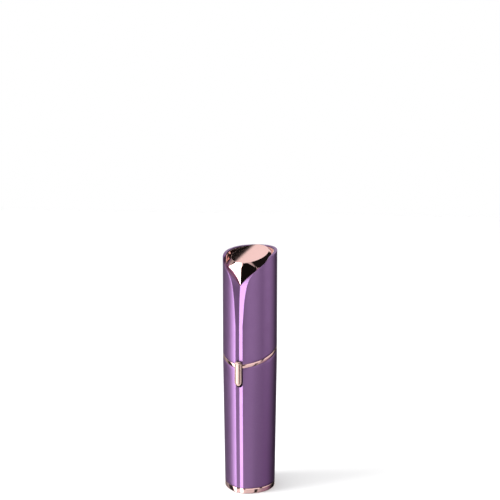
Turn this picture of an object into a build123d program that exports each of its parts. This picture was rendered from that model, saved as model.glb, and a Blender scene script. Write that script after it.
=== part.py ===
from build123d import *
import os
import math

# Slim lipstick-shaped battery hair remover: drop-shaped sleeve with a mirror
# base ring, tilted collar, round column with a twist-off foil head, and a
# pull-off cap with an inset oval crown. Millimetres, +Z up, the switch and the
# V notch face -Y, origin in the middle of the base's underside.

os.makedirs("parts", exist_ok=True)

CUT = Mode.SUBTRACT

# -------------------------------------------------------- driving dimensions
BODY_R = 13.0                 # round back of the outline, from the waist up
BASE_SCALE = 12.1 / BODY_R    # the outline's scale at the base
FLANK_DEG = 45.0              # where the round back turns into the flatter flank
FLANK_POINT = (1.8, -13.8)    # the right flank arc passes through this point
RING_Z = 2.5                  # base ring top
WAIST_Z = 62.0                # the taper ends here
GROOVE_Y = 13.35              # distance of the front groove's valley from the axis
GROOVE_TAN = 0.249            # slope of the two groove walls (about 14 degrees)

# tilted planes are z = height on the axis + slope * y, so they fall to the front
SEAM_SLOPE = 5.5 / 13.0
RIM_Z = 66.3                  # sleeve rim
SEAT_Z = 68.0                 # the cap's seat
JOIN_Z = 71.7                 # collar-to-column junction
JOIN_SLOPE = 4.0 / 11.05

COLUMN_R = 11.05              # column and head
COLUMN_Z = 63.05              # column foot
SPLIT_Z = 91.1                # head parting line
SHAFT_R = 1.0
SHAFT_BORE_R = SHAFT_R + 0.02


# ------------------------------------------------------------------- helpers
def polar(radius, degrees):
    angle = math.radians(degrees)
    return radius * math.cos(angle), radius * math.sin(angle)


def drop_outline(scale):
    """Round back with two flatter flanks that meet in a keel at the front."""
    turn = math.radians(FLANK_DEG)
    point_x, point_y = FLANK_POINT
    along = point_x * math.sin(turn) - point_y * math.cos(turn)
    # the flank arcs are tangent to the back, so their centres lie on its end radii
    offset = (point_x ** 2 + point_y ** 2 - BODY_R ** 2) / (2 * (BODY_R - along))
    flank_r = (offset + BODY_R) * scale
    back_r = BODY_R * scale
    centre_x = -offset * scale * math.sin(turn)
    centre_y = offset * scale * math.cos(turn)
    end_x, end_y = back_r * math.sin(turn), -back_r * math.cos(turn)
    keel_y = centre_y - math.sqrt(flank_r ** 2 - centre_x ** 2)
    middle = (math.atan2(end_y - centre_y, end_x - centre_x)
              + math.atan2(keel_y - centre_y, -centre_x)) / 2
    mid_x = centre_x + flank_r * math.cos(middle)
    mid_y = centre_y + flank_r * math.sin(middle)
    with BuildLine() as outline:
        ThreePointArc((end_x, end_y), (0, back_r), (-end_x, end_y))
        ThreePointArc((-end_x, end_y), (-mid_x, mid_y), (0, keel_y))
        ThreePointArc((0, keel_y), (mid_x, mid_y), (end_x, end_y))
    make_face(outline.edges())


def drop_at(z, scale=1.0):
    """The drop outline as a level section."""
    with BuildSketch(Plane.XY.offset(z)) as section:
        drop_outline(scale)
    return section.sketch


def cut_groove(valley):
    """Two shallow walls meeting in a valley line given as (y, z) points."""
    for side in (1, -1):
        with BuildSketch(Plane.YZ) as section:
            with BuildLine():
                if len(valley) > 2:
                    Spline(*valley)
                else:
                    Line(*valley)
                Polyline(valley[-1], (-30, valley[-1][1]), (-30, valley[0][1]), valley[0])
            make_face()
        extrude(section.sketch, amount=18, dir=(side, -GROOVE_TAN, 0), mode=CUT)


def cut_from_plane(z0, slope, far_z):
    """Remove everything between the plane z = z0 + slope * y and the level far_z."""
    with BuildSketch(Plane.YZ) as section:
        with BuildLine():
            Polyline((-30, z0 - 30 * slope), (30, z0 + 30 * slope),
                     (30, far_z), (-30, far_z), close=True)
        make_face()
    extrude(section.sketch, amount=40, both=True, mode=CUT)


def keep_below(z0, slope):
    cut_from_plane(z0, slope, 200)


def keep_above(z0, slope):
    cut_from_plane(z0, slope, -60)


def disc(z, height, radius, mode=Mode.ADD, at=(0, 0)):
    """Round slab or bore that stands on level z."""
    with BuildSketch(Plane.XY.offset(z)) as section:
        with Locations(at):
            Circle(radius)
    extrude(section.sketch, amount=height, mode=mode)


def ring(z, height, outer_r, inner_r):
    with BuildSketch(Plane.XY.offset(z)) as section:
        Circle(outer_r)
        Circle(inner_r, mode=CUT)
    extrude(section.sketch, amount=height)


def block(x_range, y_range, z_range, mode=Mode.ADD):
    """Box between limits; the x limits may come in either order."""
    (x0, x1), (y0, y1), (z0, z1) = x_range, y_range, z_range
    with BuildSketch(Plane.XY.offset(z0)) as section:
        with Locations(((x0 + x1) / 2, (y0 + y1) / 2)):
            Rectangle(abs(x1 - x0), y1 - y0)
    extrude(section.sketch, amount=z1 - z0, mode=mode)


def radial_bar(z, height, radius, degrees, length, width, twist=0, mode=Mode.ADD):
    """Bar centred at a polar position, its length pointing outwards plus a twist."""
    with BuildSketch(Plane.XY.offset(z)) as section:
        with Locations(Location((*polar(radius, degrees), 0), degrees + twist)):
            Rectangle(length, width)
    extrude(section.sketch, amount=height, mode=mode)


def ring_sector(z, height, inner_r, outer_r, start, end):
    """Cut a piece of a ring between two angles in degrees."""
    middle = (start + end) / 2
    with BuildSketch(Plane.XY.offset(z)) as section:
        with BuildLine():
            Line(polar(inner_r, start), polar(outer_r, start))
            ThreePointArc(polar(outer_r, start), polar(outer_r, middle), polar(outer_r, end))
            Line(polar(outer_r, end), polar(inner_r, end))
            ThreePointArc(polar(inner_r, end), polar(inner_r, middle), polar(inner_r, start))
        make_face()
    extrude(section.sketch, amount=height, mode=CUT)


def oval_on(z0, slope, half_x, half_slant):
    """Ellipse on the plane z = z0 + slope * y; half_slant is measured in that plane."""
    norm = math.hypot(1, slope)
    plane = Plane(origin=(0, 0, z0), x_dir=(1, 0, 0), z_dir=(0, -slope / norm, 1 / norm))
    with BuildSketch(plane) as section:
        Ellipse(half_x, half_slant)
    return section.sketch


def round_on(z0, slope, radius):
    """The section of an upright cylinder on a tilted plane."""
    return oval_on(z0, slope, radius, radius * math.hypot(1, slope))


def save(builder, name):
    builder.part.label = name
    export_step(builder.part, "parts/" + name + ".step")


# ===================================================================== HANDLE
SLEEVE_BORE_R = 10.9
SLEEVE_TOP_BORE_R = 11.5      # wider bore for the collar's plug
NOTCH_W = 3.7                 # U notch for the switch
NOTCH_Z = 53.05               # centre of the notch's round end
BASE_BORE_R = 9.6
EDGE_H = 0.35                 # softened lower edge of the base ring
EDGE_SCALE = BASE_SCALE * 0.972
RING_SCALE = BASE_SCALE * 0.996

# lower sleeve, tapered to the base, groove down the front, U notch at the rim
with BuildPart() as body_sleeve:
    loft([drop_at(RING_Z, BASE_SCALE), drop_at(WAIST_Z)], ruled=True)
    extrude(drop_at(WAIST_Z), amount=11)
    cut_groove([(-GROOVE_Y * BASE_SCALE, RING_Z), (-GROOVE_Y, WAIST_Z)])
    cut_groove([(-GROOVE_Y, WAIST_Z), (-GROOVE_Y, 80)])
    keep_below(RIM_Z, SEAM_SLOPE)
    disc(0, 80, SLEEVE_BORE_R, CUT)
    disc(55.2, 30, SLEEVE_TOP_BORE_R, CUT)
    with BuildSketch(Plane.XZ.offset(9)):
        with Locations((0, NOTCH_Z)):
            Circle(NOTCH_W / 2)
        with Locations((0, NOTCH_Z + 10)):
            Rectangle(NOTCH_W, 20)
    extrude(amount=9, mode=CUT)
save(body_sleeve, "body_sleeve")

# mirror base ring with a softened lower edge and a plug into the sleeve
with BuildPart() as base_ring:
    loft([drop_at(0, EDGE_SCALE), drop_at(EDGE_H, RING_SCALE)], ruled=True)
    extrude(drop_at(EDGE_H, RING_SCALE), amount=RING_Z - EDGE_H - 0.03)
    cut_groove([(-GROOVE_Y * EDGE_SCALE, -0.01), (-GROOVE_Y * RING_SCALE, EDGE_H)])
    cut_groove([(-GROOVE_Y * RING_SCALE, EDGE_H), (-GROOVE_Y * RING_SCALE, 4)])
    disc(-1, 8, BASE_BORE_R, CUT)
    ring(RING_Z - 0.03, 3.2, SLEEVE_BORE_R - 0.05, BASE_BORE_R)
    disc(1.4, 2, 10.0, CUT)
save(base_ring, "base_ring")

# floor of the sleeve, flush with the ring's underside, with a fine ring groove
with BuildPart() as base_plug:
    disc(0, 1.4, BASE_BORE_R - 0.03)
    disc(1.42, 0.7, 9.95)
    disc(1.38, 0.1, 9.5)      # joins the two slabs
    with BuildSketch(Plane.XY):
        Circle(6.4)
        Circle(6.0, mode=CUT)
    extrude(amount=0.25, mode=CUT)
save(base_plug, "base_plug")

# foam pad that stops the chassis from rattling on the floor
with BuildPart() as base_cushion:
    disc(2.2, 0.7, 8.2)
save(base_cushion, "base_cushion")

# ========================================================= COLLAR AND COLUMN
COLLAR_BORE_R = 10.3
NECK_Z = 87.2                 # underside of the neck
NECK_FLOOR_H = 1.1
POCKET_R = (9.4, 10.16)       # radii of the bayonet pockets
POCKET_END = 44               # last angle of a pocket, from its lug's rest angle
LUG_ANGLES = (0, 120, 240)

with BuildPart() as collar:
    extrude(drop_at(56), amount=20)
    cut_groove([(-GROOVE_Y, 50), (-GROOVE_Y, 80)])
    keep_below(SEAT_Z, SEAM_SLOPE)
    keep_above(RIM_Z + 0.04, SEAM_SLOPE)
    # plug that locates in the sleeve
    ring(56.0, 10.5, SLEEVE_TOP_BORE_R - 0.06, COLLAR_BORE_R)
    # seat ledge and shoulder up to the column
    loft([round_on(SEAT_Z - 0.6, SEAM_SLOPE, 12.25),
          round_on(SEAT_Z + 2.0, SEAM_SLOPE * 0.95, 11.98),
          round_on(JOIN_Z, JOIN_SLOPE, 11.22)])
    disc(COLUMN_Z - 0.05, 30, COLUMN_R + 0.03, CUT)
    disc(50, 13.1, COLLAR_BORE_R, CUT)
    # opening for the switch foot and its carrier
    block((-2.15, 2.15), (-12.2, -8), (50, 60.35), CUT)
    block((-4.3, 4.3), (-10.95, -5), (50, 62.95), CUT)
save(collar, "collar")

# mirror column
with BuildPart() as column_sleeve:
    ring(COLUMN_Z, SPLIT_Z - COLUMN_Z, COLUMN_R, COLUMN_R - 0.5)
save(column_sleeve, "column_sleeve")

# bayonet neck inside the top of the column: three pockets under a lip
with BuildPart() as neck:
    disc(NECK_Z, SPLIT_Z - NECK_Z - 0.05, 10.5)
    disc(NECK_Z + NECK_FLOOR_H, 10, 9.66, CUT)
    disc(NECK_Z - 1, 4, 2.6, CUT)
    for angle in LUG_ANGLES:
        # pocket the lug turns in, then the open end where it enters from above
        ring_sector(NECK_Z + NECK_FLOOR_H, 1.5, *POCKET_R, angle - 13, angle + POCKET_END)
        ring_sector(NECK_Z + NECK_FLOOR_H, 5, *POCKET_R, angle + 17, angle + POCKET_END)
save(neck, "neck")

# felt washer round the shaft in the neck floor
with BuildPart() as shaft_seal:
    ring(NECK_Z + 0.1, 0.9, 2.5, 1.12)
save(shaft_seal, "shaft_seal")

# ============================================================ CHASSIS AND CELL
SCREWS = [polar(8.75, degrees) for degrees in (50, 130)]
CELL_R = 7.25                 # AA cell
CELL_Z = 6.6                  # its lower end
CELL_TOP_Z = CELL_Z + 49.12   # top face of the can, less the button
LEAF_T = 0.25                 # thickness of the contact strips
LEAF_Z = 57.6                 # underside of the positive contact leaf
LEAF_Y = (-8.95, -8.72)       # upright legs of the switch contacts
STRIP_Y = (-1.5, 1.5)         # width of the return strip
STRIP_X = 9.0                 # its outer face

# cell cradle with an open back, a top wall, and a flange under the motor holder
with BuildPart() as battery_cradle:
    disc(3.2, 60.9, 8.7)
    disc(62.6, 1.5, 10.2)
    disc(4.6, 53.4, 7.45, CUT)
    disc(59.2, 10, 7.0, CUT)
    block((-12, 12), (1.6, 12), (5.6, 57.2), CUT)
    # rails for the switch carrier
    for side in (-1, 1):
        block((side * 3.2, side * 4.1), (-9.95, -7.4), (45.5, 62.6))
    block((-3.25, 3.25), (-12, -8.6), (62.5, 65), CUT)
    # slots for the return strip and the top contact's tab
    block((6.5, 9.3), (-1.7, 1.7), (4.5, 5.05), CUT)
    block((6.2, 9.3), (-1.7, 1.7), (60.4, 61.2), CUT)
    block((8.5, 11), (-1.7, 1.7), (60, 66), CUT)
    block((-0.9, 0.9), (-9.2, -5.2), (57.9, 60.3), CUT)
    # screw head recesses and clearance holes
    for position in SCREWS:
        disc(59.4, 3.6, 1.55, CUT, at=position)
        disc(59.4, 8, 0.85, CUT, at=position)
    # clearance round the positive contact and the switch blade
    block((-0.9, 0.9), (-9.5, -1), (57.1, 58.05), CUT)
    block((-1.0, 1.0), (-9.5, -8.45), (51.5, 58.0), CUT)
    block((1.25, 2.85), (-9.5, -8.25), (51.5, 62.0), CUT)
    block((1.25, 2.85), (-9.5, -5.4), (60.2, 61.2), CUT)
save(battery_cradle, "battery_cradle")

# AA cell: steel can, plain jacket, top button, seal ring
with BuildPart() as cell_can:
    disc(CELL_Z + 0.1, 49.0, 7.05)
    disc(CELL_Z, 0.1, 6.2)
save(cell_can, "cell_can")

with BuildPart() as cell_jacket:
    ring(CELL_Z + 0.25, 48.9, CELL_R, 7.07)
    ring(CELL_Z + 49.15, 0.12, CELL_R, 5.6)
save(cell_jacket, "cell_jacket")

with BuildPart() as cell_button:
    disc(CELL_TOP_Z, 0.3, 4.2)
    disc(CELL_TOP_Z, 1.38, 2.7)
    fillet(cell_button.edges().group_by(Axis.Z)[-1], 0.4)
save(cell_button, "cell_button")

with BuildPart() as cell_washer:
    ring(CELL_TOP_Z, 0.35, 5.5, 4.3)
save(cell_washer, "cell_washer")

with BuildPart() as negative_spring:
    with BuildLine() as coil:
        Helix(pitch=0.42, height=0.9, radius=3.9, center=(0, 0, 5.3))
    with BuildSketch(Plane(origin=coil.line @ 0, z_dir=coil.line % 0)):
        Circle(0.17)
    sweep()
save(negative_spring, "negative_spring")

# spring plate and the brass strip up the +X side of the cradle
with BuildPart() as return_strip:
    block((-4.6, STRIP_X), STRIP_Y, (4.63, 4.93))
    block((STRIP_X - LEAF_T, STRIP_X), STRIP_Y, (4.63, 61.0))
    block((4.9, STRIP_X), STRIP_Y, (61.0 - LEAF_T, 61.0))
save(return_strip, "return_strip")

# positive contact leaf with a dimple and a tab to the switch
with BuildPart() as positive_contact:
    disc(LEAF_Z, LEAF_T, 3.1)
    disc(57.15, 0.46, 1.0)
    block((-0.7, 0.7), (LEAF_Y[0], -2), (LEAF_Z, LEAF_Z + LEAF_T))
    block((-0.7, 0.7), LEAF_Y, (52.0, LEAF_Z + LEAF_T))
    fillet(positive_contact.edges().filter_by(GeomType.CIRCLE).group_by(Axis.Z)[0], 0.2)
save(positive_contact, "positive_contact")

# fixed switch blade towards the motor
with BuildPart() as switch_blade:
    block((1.4, 2.7), LEAF_Y, (54.9, 60.9))
    block((1.4, 2.7), (LEAF_Y[0], -5.6), (60.9 - LEAF_T, 60.9))
save(switch_blade, "switch_blade")

# ====================================================================== MOTOR
MOTOR_R = 7.8                 # can radius
MOTOR_FLAT = 6.2              # distance of the can's flats from the axis
MOTOR_Z = 66.5                # open lower end of the can
MOTOR_H = 18.0
MOTOR_TOP_Z = MOTOR_Z + MOTOR_H
HOLDER_GROW = 0.55            # the holder's bore, beyond the can
TERMINAL_X = 4.5


def can_outline(radius, flat):
    """Circle with a flat on either X side."""
    Circle(radius)
    Rectangle(2 * flat, 3 * radius, mode=Mode.INTERSECT)


def can_slab(z, height, grow, mode=Mode.ADD):
    """Slab with the motor can's outline, offset outwards by grow."""
    with BuildSketch(Plane.XY.offset(z)) as section:
        can_outline(MOTOR_R + grow, MOTOR_FLAT + grow)
    extrude(section.sketch, amount=height, mode=mode)


with BuildPart() as motor_can:
    can_slab(MOTOR_Z, MOTOR_H, 0)
    can_slab(MOTOR_Z - 0.1, 17.5, -0.5, CUT)
    disc(MOTOR_TOP_Z, 1.2, 3.0)
    disc(80, 8, 2.3, CUT)
save(motor_can, "motor_can")

with BuildPart() as motor_endcap:
    can_slab(64.2, 2.25, -0.05)
    can_slab(66.45, 1.4, -0.55)
    can_slab(65.6, 5, -1.2, CUT)
    disc(60, 8, 2.0, CUT)
    for x in (-TERMINAL_X, TERMINAL_X):
        block((x - 0.25, x + 0.25), (-1.15, 1.15), (63, 68), CUT)
save(motor_endcap, "motor_endcap")

with BuildPart() as motor_magnets:
    with BuildSketch(Plane.XY.offset(69.5)):
        can_outline(7.26, 5.6)
        Circle(5.7, mode=CUT)
        Rectangle(30, 8.4, mode=CUT)
    extrude(amount=12.5)
save(motor_magnets, "motor_magnets")

with BuildPart() as motor_bushes:
    ring(84.0, 1.9, 2.25, SHAFT_BORE_R)
    ring(64.3, 1.25, 1.95, SHAFT_BORE_R)
save(motor_bushes, "motor_bushes")

with BuildPart() as motor_terminals:
    for x in (-TERMINAL_X, TERMINAL_X):
        block((x - 0.2, x + 0.2), (-1.0, 1.0), (62.5, 66.6))
save(motor_terminals, "motor_terminals")

# L-shaped leaves that reach in to the commutator
with BuildPart() as motor_brushes:
    for side in (-1, 1):
        block((side * 1.95, side * 4.25), (-0.6, 0.6), (66.75, 66.95))
        block((side * 1.75, side * 1.95), (-0.6, 0.6), (66.75, 67.9))
save(motor_brushes, "motor_brushes")

with BuildPart() as motor_holder:
    disc(64.35, 22.8, 10.42)
    can_slab(64.3, 20.6, HOLDER_GROW, CUT)
    disc(64, 30, 3.4, CUT)
    # lightening pockets beside the motor flats
    for side in (-1, 1):
        block((side * 7.6, side * 12), (-4.5, 4.5), (66.5, 84.4), CUT)
    for position in SCREWS:
        disc(64.3, 3.0, 0.82, CUT, at=position)
save(motor_holder, "motor_holder")

# rubber boot round the motor
with BuildPart() as motor_boot:
    can_slab(67.5, 14, HOLDER_GROW - 0.07)
    can_slab(67.5, 14, 0.07, CUT)
save(motor_boot, "motor_boot")

# cross-slotted screws, heads down
SCREW_Z = 62.0
with BuildPart() as chassis_screws:
    for position in SCREWS:
        disc(SCREW_Z, 0.95, 1.2, at=position)
        disc(SCREW_Z + 0.9, 4.2, 0.75, at=position)
        with BuildSketch(Plane.XY.offset(SCREW_Z)):
            with Locations(position):
                Rectangle(1.5, 0.3)
                Rectangle(0.3, 1.5)
        extrude(amount=0.45, mode=CUT)
save(chassis_screws, "chassis_screws")

# suppressor capacitor for the motor, a disc on edge in front of the axis
with BuildPart() as capacitor:
    with BuildSketch(Plane.XZ.offset(2.4)):
        with Locations((0, 62.0)):
            Circle(1.9)
    extrude(amount=1.1)
    fillet(capacitor.edges().filter_by(GeomType.CIRCLE), 0.35)
save(capacitor, "capacitor")

# two short leads to the motor terminals
WIRE_R = 0.38
with BuildPart() as wire_return:
    with BuildLine() as lead:
        Spline((5.4, 0.0, 61.45), (6.0, 1.4, 61.9), (5.9, 1.0, 62.6), (5.15, 0.2, 62.9),
               tangents=((-0.2, 1, 0.1), (-1, -0.3, 0.1)))
    with BuildSketch(Plane(origin=lead.line @ 0, z_dir=lead.line % 0)):
        Circle(WIRE_R)
    sweep()
save(wire_return, "wire_return")

with BuildPart() as wire_switched:
    with BuildLine() as lead:
        Spline((2.0, -5.1, 61.4), (-0.6, -5.2, 61.3), (-4.3, -3.6, 61.4), (-4.6, -1.6, 62.9),
               tangents=((-1, 0, 0), (0, 0.6, 1)))
    with BuildSketch(Plane(origin=lead.line @ 0, z_dir=lead.line % 0)):
        Circle(WIRE_R)
    sweep()
save(wire_switched, "wire_switched")

# ====================================================================== ROTOR
POLES = 3
HUB_Z = 89.2                  # drive hub underside
CUTTER_Z = 95.2               # cutter hub underside

with BuildPart() as rotor_shaft:
    disc(63.6, 29.4, SHAFT_R)
    chamfer(rotor_shaft.edges().group_by(Axis.Z)[-1], 0.2)
save(rotor_shaft, "rotor_shaft")

# three-pole core: split rim, centre and arms
with BuildPart() as rotor_core:
    with BuildSketch(Plane.XY.offset(71.5)):
        Circle(5.2)
        Circle(4.3, mode=CUT)
        with PolarLocations(4.9, POLES, 60):
            Rectangle(1.6, 1.3, mode=CUT)
        Circle(2.1)
        with PolarLocations(3.0, POLES, 0):
            Rectangle(3.2, 1.9)
        Circle(SHAFT_BORE_R, mode=CUT)
    extrude(amount=8.5)
save(rotor_core, "rotor_core")

# coils round the arms, hollowed where the core passes through
with BuildPart() as rotor_windings:
    with BuildSketch(Plane.XY.offset(70.3)):
        with PolarLocations(3.05, POLES, 0):
            Rectangle(1.5, 3.6)
    extrude(amount=10.9)
    with BuildSketch(Plane.XY.offset(71.4)):
        with PolarLocations(3.0, POLES, 0):
            Rectangle(3.4, 2.0)
        Circle(2.15)
    extrude(amount=8.7, mode=CUT)
save(rotor_windings, "rotor_windings")

with BuildPart() as commutator:
    ring(66.6, 3.4, 1.7, SHAFT_BORE_R)
    for angle in (0, 60, 120):
        with BuildSketch(Plane.XY.offset(66.5)):
            Rectangle(0.12, 3.6, rotation=angle)
        extrude(amount=1.6, mode=CUT)
save(commutator, "commutator")

# hub pressed on the shaft with a hexagon that drives the cutter
with BuildPart() as drive_hub:
    disc(HUB_Z, 2.3, 3.2)
    with BuildSketch(Plane.XY.offset(HUB_Z + 2.3)):
        RegularPolygon(1.95, 6)
    extrude(amount=5.5)
    disc(89, 4.2, SHAFT_BORE_R, CUT)
save(drive_hub, "drive_hub")

with BuildPart() as cutter_spring:
    with BuildLine() as coil:
        Helix(pitch=0.72, height=3.1, radius=2.55, center=(0, 0, 91.75))
    with BuildSketch(Plane(origin=coil.line @ 0, z_dir=coil.line % 0)):
        Circle(0.18)
    sweep()
save(cutter_spring, "cutter_spring")

with BuildPart() as cutter_hub:
    disc(CUTTER_Z, 3.9, 3.1)
    disc(CUTTER_Z + 3.0, 0.9, 6.9)
    with BuildSketch(Plane.XY.offset(CUTTER_Z - 0.2)):
        RegularPolygon(2.02, 6)
    extrude(amount=2.3, mode=CUT)
save(cutter_hub, "cutter_hub")

# six swept blades on a thin carrier
with BuildPart() as cutter_blades:
    ring(99.12, 0.25, 7.3, 1.4)
    for angle in range(0, 360, 60):
        radial_bar(99.3, 0.84, 4.4, angle, length=5.6, width=0.45, twist=18)
save(cutter_blades, "cutter_blades")

# ======================================================================= HEAD
HEAD_Z = 97.5                 # head ring top
FRAME_R = 8.7                 # raised foil frame
FRAME_BORE_R = 8.0
FRAME_Z = 95.3                # frame underside
FOIL_Z = 100.2                # frame top, just under the foil
# rings of slots in the foil: radius, count, slot length
FOIL_SLOTS = [(1.3, 6, 0.9), (2.7, 12, 1.0), (4.1, 18, 1.1), (5.5, 24, 1.1), (6.9, 30, 1.1)]

# head ring with a skirt and three lugs that turn in the neck's pockets
with BuildPart() as head_ring:
    disc(SPLIT_Z + 0.05, HEAD_Z - SPLIT_Z - 0.05, COLUMN_R)
    chamfer(head_ring.edges().group_by(Axis.Z)[-1], 0.25)
    disc(88.7, 3, 9.6)
    disc(88, 8.4, 9.0, CUT)
    disc(91.8, 4.6, 9.9, CUT)
    disc(96, 3, FRAME_R + 0.04, CUT)
    for angle in LUG_ANGLES:
        radial_bar(88.7, 0.95, 9.7, angle, length=0.6, width=3.2)
save(head_ring, "head_ring")

with BuildPart() as foil_frame:
    ring(FRAME_Z, FOIL_Z - FRAME_Z, FRAME_R, FRAME_BORE_R)
    chamfer(foil_frame.edges().group_by(Axis.Z)[-1].sort_by(SortBy.LENGTH)[-1], 0.2)
    ring(FRAME_Z, 1.05, 9.75, FRAME_BORE_R)
save(foil_frame, "foil_frame")

with BuildPart() as foil_retainer:
    ring(93.0, 2.25, 9.8, 8.3)
save(foil_retainer, "foil_retainer")

with BuildPart() as foil:
    with BuildSketch(Plane.XY.offset(FOIL_Z + 0.02)):
        Circle(8.42)
        for radius, count, length in FOIL_SLOTS:
            with PolarLocations(radius, count):
                SlotOverall(length, 0.42, mode=CUT)
    extrude(amount=0.18)
save(foil, "foil")

# ===================================================================== SWITCH
BUTTON_HALF = 1.75            # half width
BUTTON_Z = 52.3               # lowest point
BUTTON_TOP_Z = 63.7
BUTTON_ARC_Z = BUTTON_Z + BUTTON_HALF    # centre of the round lower end
CORNER = 0.7                  # clipped upper corners
DISH_HALF = BUTTON_HALF - 0.42           # half width of the dish inside its rim
DISH_TOP_Z = BUTTON_TOP_Z - 1.7

with BuildPart() as switch_button:
    with BuildSketch(Plane.XZ.offset(14.06)):
        with Locations((0, BUTTON_ARC_Z)):
            Circle(BUTTON_HALF)
        with BuildLine():
            Polyline((-BUTTON_HALF, BUTTON_ARC_Z), (BUTTON_HALF, BUTTON_ARC_Z),
                     (BUTTON_HALF, BUTTON_TOP_Z - CORNER), (BUTTON_HALF - CORNER, BUTTON_TOP_Z),
                     (-BUTTON_HALF + CORNER, BUTTON_TOP_Z),
                     (-BUTTON_HALF, BUTTON_TOP_Z - CORNER), close=True)
        make_face()
    extrude(amount=0.95)
    # raised lip at the top
    with BuildSketch(Plane.XZ.offset(15.0)):
        with Locations((0, BUTTON_TOP_Z - 0.85)):
            Rectangle(2 * BUTTON_HALF - 0.9, 0.8)
    extrude(amount=0.25)
    # shallow dish inside a rim
    with BuildSketch(Plane.XZ.offset(14.74)):
        with Locations((0, BUTTON_ARC_Z)):
            Circle(DISH_HALF)
        with BuildLine():
            Polyline((-DISH_HALF, BUTTON_ARC_Z), (DISH_HALF, BUTTON_ARC_Z),
                     (DISH_HALF, DISH_TOP_Z), (-DISH_HALF, DISH_TOP_Z), close=True)
        make_face()
    extrude(amount=3, mode=CUT)
    # foot through the notch
    block((-1.6, 1.6), (-14.1, -10.38), (53.6, 57.4))
save(switch_button, "switch_button")

with BuildPart() as switch_carrier:
    block((-3.05, 3.05), (-10.35, -9.25), (49.0, 59.9))
    chamfer(switch_carrier.edges().filter_by(Axis.Z).group_by(Axis.Y)[0], 0.25)
save(switch_carrier, "switch_carrier")

with BuildPart() as switch_wiper:
    block((-1.0, 2.6), (-9.2, -9.0), (53.4, 54.6))
save(switch_wiper, "switch_wiper")

# ======================================================================== CAP
# side view of the round rim, (y, z)
RIM_PROFILE = [(-14.5, 99.5), (-12.4, 103.6), (-10.3, 106.8), (-9.19, 108.0),
               (-7.8, 109.4), (-6.1, 110.9), (0, 113.6), (4.87, 114.9),
               (9.19, 115.8), (13.0, 116.4), (16, 116.8)]
# right edge of the V notch seen along Y, (x, z), from its lowest point up
NOTCH_V_Z = 98.9
V_EDGE = [(0, NOTCH_V_Z), (3.1, 102.4), (6.8, 105.6), (9.3, 108.3), (10.4, 110.6),
          (11.1, 112.8), (11.6, 115.5)]
# valley of the front groove where it runs back towards the axis, (y, z)
FLARE = [(-GROOVE_Y, 80), (-13.2, 84), (-12.85, 92), (-12.4, 96.6), (-12.1, 98.9),
         (-11.3, 102), (-9.95, 105), (-9.35, 107), (-9.15, 109), (-9.05, 112)]

NOSE_DEG = 37.0               # the pocket's straight nose starts here
CAP_POCKET_R = 11.5
CROWN_PLAN = (CAP_POCKET_R - 0.04, 11.9)   # crown's round radius and nose tip
LIP_R = 11.12                 # inside of the crown's lip
CROWN_Z = 113.0               # crown disc height on the axis
CROWN_SLOPE = 0.33
CROWN_X, CROWN_Y = 8.6, 10.6  # half axes of the oval crown disc in plan
SKIRT_SLOPE = 0.42            # foot of the crown's skirt
LINER_BORE_R = 11.95          # bore that takes the liner
LINER_Z, LINER_TOP_Z = 77, 88
POCKET_Z = 98.1               # pocket floor


def pocket_at(z, radius, tip):
    """Level section: round back, straight-sided nose with its point at y = -tip."""
    corner_x = radius * math.sin(math.radians(NOSE_DEG))
    corner_y = -radius * math.cos(math.radians(NOSE_DEG))
    with BuildLine() as outline:
        ThreePointArc((corner_x, corner_y), (0, radius), (-corner_x, corner_y))
        Polyline((-corner_x, corner_y), (0, -tip), (corner_x, corner_y))
    with BuildSketch(Plane.XY.offset(z)) as section:
        make_face(outline.edges())
    return section.sketch


def above_rim(drop):
    """Everything above the sloping rim and its V notch, lowered by drop."""
    rim = [(y, z - drop) for y, z in RIM_PROFILE]
    edge = [(x, z - drop) for x, z in V_EDGE]
    with BuildPart(mode=Mode.PRIVATE) as cutter:
        with BuildSketch(Plane.YZ, mode=Mode.PRIVATE) as rim_cut:
            with BuildLine():
                Spline(*rim)
                Polyline(rim[-1], (rim[-1][0], 140), (rim[0][0], 140), rim[0])
            make_face()
        extrude(rim_cut.sketch, amount=20, both=True)
        with BuildSketch(Plane.XZ.offset(1), mode=Mode.PRIVATE) as v_cut:
            with BuildLine():
                Spline(*edge)
                end_x, end_z = edge[-1]
                Polyline((end_x, end_z), (end_x, 135), (-end_x, 135), (-end_x, end_z))
                Spline(*[(-x, z) for x, z in reversed(edge)])
            make_face()
        extrude(v_cut.sketch, amount=19)
    return cutter.part


with BuildPart() as cap_shell:
    extrude(drop_at(60), amount=60)
    cut_groove([(-GROOVE_Y, 55), (-GROOVE_Y, 80)])
    cut_groove(FLARE)
    add(above_rim(0), mode=CUT)
    keep_above(SEAT_Z + 0.05, SEAM_SLOPE)
    # bores over the shoulder, the liner and the head, then the crown's pocket
    disc(50, LINER_Z - 50, 12.35, CUT)
    disc(60, LINER_TOP_Z - 60, LINER_BORE_R, CUT)
    disc(80, POCKET_Z - 80, 11.2, CUT)
    extrude(pocket_at(POCKET_Z, CAP_POCKET_R, 11.95), amount=30, mode=CUT)
save(cap_shell, "cap_shell")

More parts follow.
